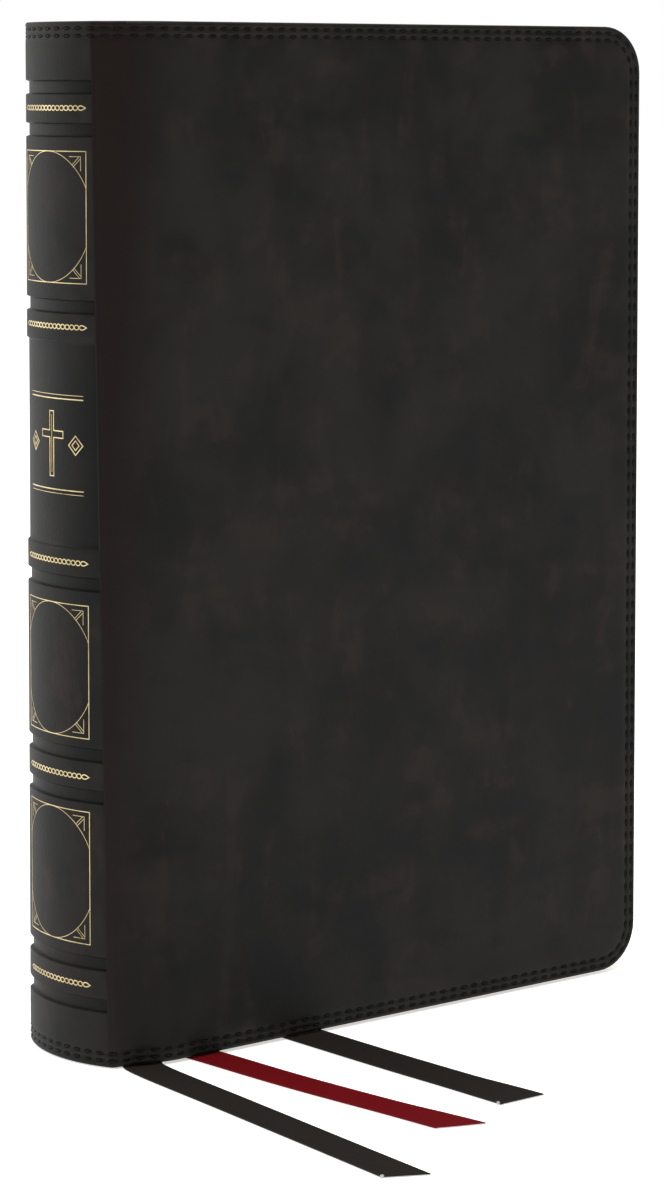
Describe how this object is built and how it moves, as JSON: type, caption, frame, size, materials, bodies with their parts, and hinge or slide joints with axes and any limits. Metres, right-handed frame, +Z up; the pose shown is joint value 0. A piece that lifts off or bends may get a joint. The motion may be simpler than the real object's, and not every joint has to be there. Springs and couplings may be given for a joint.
{
  "type": "bible",
  "caption": "Leather-bound bible standing on its tail, with rounded spine, stitched flexible covers, sewn pages that open and ribbon markers; covers, leaves and page groups turn.",
  "frame": {"origin": "under the middle of the closed book, on the surface that it stands on", "axes": "+X from the spine to the fore-edge, front cover facing -Y, +Z up from tail to head"},
  "size_m": [0.1634, 0.1451, 0.24],
  "materials": {
    "black_leather": "satin",
    "black_lining": "matte",
    "grey_board": "matte",
    "thin_paper": "matte",
    "unbleached_cloth": "matte",
    "band_cord": "matte",
    "black_ribbon": "satin",
    "red_ribbon": "satin",
    "gold_foil": "satin",
    "stitch_thread": "satin",
    "gilt_edge": "satin"
  },
  "bodies": {
    "spine_and_middle_pages": {"spine_leather": "black_leather", "spine_card": "grey_board", "spine_paper": "thin_paper", "crash_cloth": "unbleached_cloth", "sewing_tape_1": "unbleached_cloth", "sewing_tape_2": "unbleached_cloth", "sewing_tape_3": "unbleached_cloth", "sewing_tape_4": "unbleached_cloth", "head_band": "band_cord", "tail_band": "band_cord", "spine_head_thread_outer": "stitch_thread", "spine_head_thread_inner": "stitch_thread", "spine_tail_thread_outer": "stitch_thread", "spine_tail_thread_inner": "stitch_thread", "signature_04": "thin_paper", "signature_05": "thin_paper", "signature_06": "thin_paper", "signature_07": "thin_paper", "signature_08": "thin_paper", "signature_09": "thin_paper", "ribbon_front": "black_ribbon", "ribbon_middle": "red_ribbon", "ribbon_back": "black_ribbon"},
    "front_pages": {"signature_01": "thin_paper", "signature_02": "thin_paper", "signature_03": "thin_paper"},
    "front_cover": {"front_cover_leather": "black_leather", "front_cover_board": "grey_board", "front_cover_lining": "black_lining", "front_cover_thread_outer": "stitch_thread", "front_cover_thread_inner": "stitch_thread"},
    "front_flyleaf": {"front_flyleaf": "thin_paper"},
    "front_leaf_1": {"front_leaf_1": "thin_paper"},
    "front_leaf_2": {"front_leaf_2": "thin_paper"},
    "back_pages": {"signature_10": "thin_paper", "signature_11": "thin_paper", "signature_12": "thin_paper"},
    "back_cover": {"back_cover_leather": "black_leather", "back_cover_board": "grey_board", "back_cover_lining": "black_lining", "back_cover_thread_outer": "stitch_thread", "back_cover_thread_inner": "stitch_thread"},
    "back_flyleaf": {"back_flyleaf": "thin_paper"},
    "back_leaf_1": {"back_leaf_1": "thin_paper"},
    "back_leaf_2": {"back_leaf_2": "thin_paper"}
  },
  "joints": [
    {"name": "front_pages_opening", "type": "hinge", "parent": "spine_and_middle_pages", "child": "front_pages", "pos_m": [-0.07681, -0.02251, 0], "axis": [0, 0, -1], "range_deg": [0, 60]},
    {"name": "front_cover_hinge", "type": "hinge", "parent": "front_pages", "child": "front_cover", "pos_m": [-0.07681, -0.02251, 0], "axis": [0, 0, -1], "range_deg": [0, 120]},
    {"name": "front_flyleaf_turn", "type": "hinge", "parent": "front_pages", "child": "front_flyleaf", "pos_m": [-0.07681, -0.02251, 0], "axis": [0, 0, -1], "range_deg": [0, 60]},
    {"name": "front_leaf_1_turn", "type": "hinge", "parent": "spine_and_middle_pages", "child": "front_leaf_1", "pos_m": [-0.07681, -0.02251, 0], "axis": [0, 0, -1], "range_deg": [0, 42]},
    {"name": "front_leaf_2_turn", "type": "hinge", "parent": "spine_and_middle_pages", "child": "front_leaf_2", "pos_m": [-0.07681, -0.02251, 0], "axis": [0, 0, -1], "range_deg": [0, 21]},
    {"name": "back_pages_opening", "type": "hinge", "parent": "spine_and_middle_pages", "child": "back_pages", "pos_m": [-0.07681, 0.02251, 0], "axis": [0, 0, 1], "range_deg": [0, 60]},
    {"name": "back_cover_hinge", "type": "hinge", "parent": "back_pages", "child": "back_cover", "pos_m": [-0.07681, 0.02251, 0], "axis": [0, 0, 1], "range_deg": [0, 120]},
    {"name": "back_flyleaf_turn", "type": "hinge", "parent": "back_pages", "child": "back_flyleaf", "pos_m": [-0.07681, 0.02251, 0], "axis": [0, 0, 1], "range_deg": [0, 60]},
    {"name": "back_leaf_1_turn", "type": "hinge", "parent": "spine_and_middle_pages", "child": "back_leaf_1", "pos_m": [-0.07681, 0.02251, 0], "axis": [0, 0, 1], "range_deg": [0, 42]},
    {"name": "back_leaf_2_turn", "type": "hinge", "parent": "spine_and_middle_pages", "child": "back_leaf_2", "pos_m": [-0.07681, 0.02251, 0], "axis": [0, 0, 1], "range_deg": [0, 21]}
  ],
  "couplings": [
    {"joint": "front_flyleaf_turn", "follows": "front_cover_hinge", "ratio": 0.5},
    {"joint": "front_leaf_1_turn", "follows": "front_pages_opening", "ratio": 0.7},
    {"joint": "front_leaf_2_turn", "follows": "front_pages_opening", "ratio": 0.35},
    {"joint": "back_flyleaf_turn", "follows": "back_cover_hinge", "ratio": 0.5},
    {"joint": "back_leaf_1_turn", "follows": "back_pages_opening", "ratio": 0.7},
    {"joint": "back_leaf_2_turn", "follows": "back_pages_opening", "ratio": 0.35}
  ]
}
